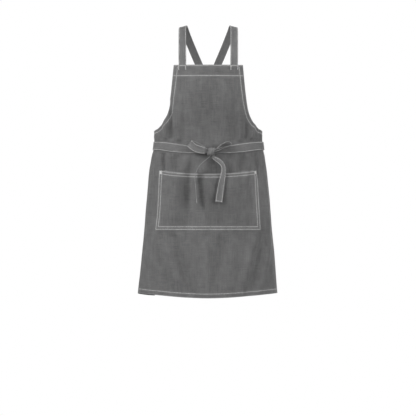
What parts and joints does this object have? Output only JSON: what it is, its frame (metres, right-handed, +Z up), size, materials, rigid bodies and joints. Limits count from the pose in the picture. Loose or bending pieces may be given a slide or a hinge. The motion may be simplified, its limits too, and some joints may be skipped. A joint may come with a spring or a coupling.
{
  "type": "artist smock apron",
  "caption": "Long grey cross-back work apron with a square bib, one wide patch pocket, contrast topstitching and waist ties wrapped round to a bow at the front.",
  "frame": {"origin": "midway between the two shoulders, at the height where the undersides of the shoulder straps rest", "axes": "+Z up, -Y to the front of the apron, +X to the wearer's left, which is the right-hand side seen from the front"},
  "size_m": [0.5113, 0.2505, 1.0009],
  "materials": {
    "body_cloth": "grey chambray, matte",
    "pocket_cloth": "grey chambray, matte",
    "lining_cloth": "grey chambray, reverse side, matte",
    "strap_cloth": "grey chambray tube, pressed flat, matte",
    "thread": "pale grey topstitching thread, slight sheen"
  },
  "bodies": {
    "apron": {"armhole_stitching": "thread", "back_edge_stitching": "thread", "bib_top_facing": "lining_cloth", "bib_top_stitching": "thread", "body_panel": "body_cloth", "bottom_hem_stitching": "thread", "bottom_hem_turn": "lining_cloth", "bow_knot": "strap_cloth", "left_armhole_facing": "lining_cloth", "left_back_edge_turn": "lining_cloth", "left_shoulder_strap": "strap_cloth", "left_waist_tie": "strap_cloth", "pocket_bar_tacks": "thread", "pocket_mouth_turn": "lining_cloth", "pocket_panel": "pocket_cloth", "pocket_stitching": "thread", "right_armhole_facing": "lining_cloth", "right_back_edge_turn": "lining_cloth", "right_shoulder_strap": "strap_cloth", "right_waist_tie": "strap_cloth", "strap_back_stitching": "thread", "strap_edge_stitching": "thread", "strap_front_tacks": "thread", "tie_edge_stitching": "thread", "tie_end_stitching": "thread"},
    "left_bow_loop": {"left_bow_loop": "strap_cloth", "left_bow_loop_stitching": "thread"},
    "right_bow_loop": {"right_bow_loop": "strap_cloth", "right_bow_loop_stitching": "thread"},
    "left_tie_tail": {"left_tie_tail": "strap_cloth", "left_tie_tail_stitching": "thread"},
    "right_tie_tail": {"right_tie_tail": "strap_cloth", "right_tie_tail_stitching": "thread"}
  },
  "joints": [
    {"name": "left_loop_lift", "type": "hinge", "parent": "apron", "child": "left_bow_loop", "pos_m": [-0.0052, -0.10968, -0.457], "axis": [0, 0, 1], "range_deg": [0, 40]},
    {"name": "right_loop_tilt", "type": "hinge", "parent": "apron", "child": "right_bow_loop", "pos_m": [0.0272, -0.10968, -0.4565], "axis": [0, 1, 0], "range_deg": [-25, 10]},
    {"name": "left_tail_swing", "type": "hinge", "parent": "apron", "child": "left_tie_tail", "pos_m": [0.005, -0.10968, -0.4757], "axis": [0, 1, 0], "range_deg": [-12, 25]},
    {"name": "right_tail_lift", "type": "hinge", "parent": "apron", "child": "right_tie_tail", "pos_m": [0.017, -0.10968, -0.4757], "axis": [-1, 0, 0], "range_deg": [0, 80]}
  ]
}
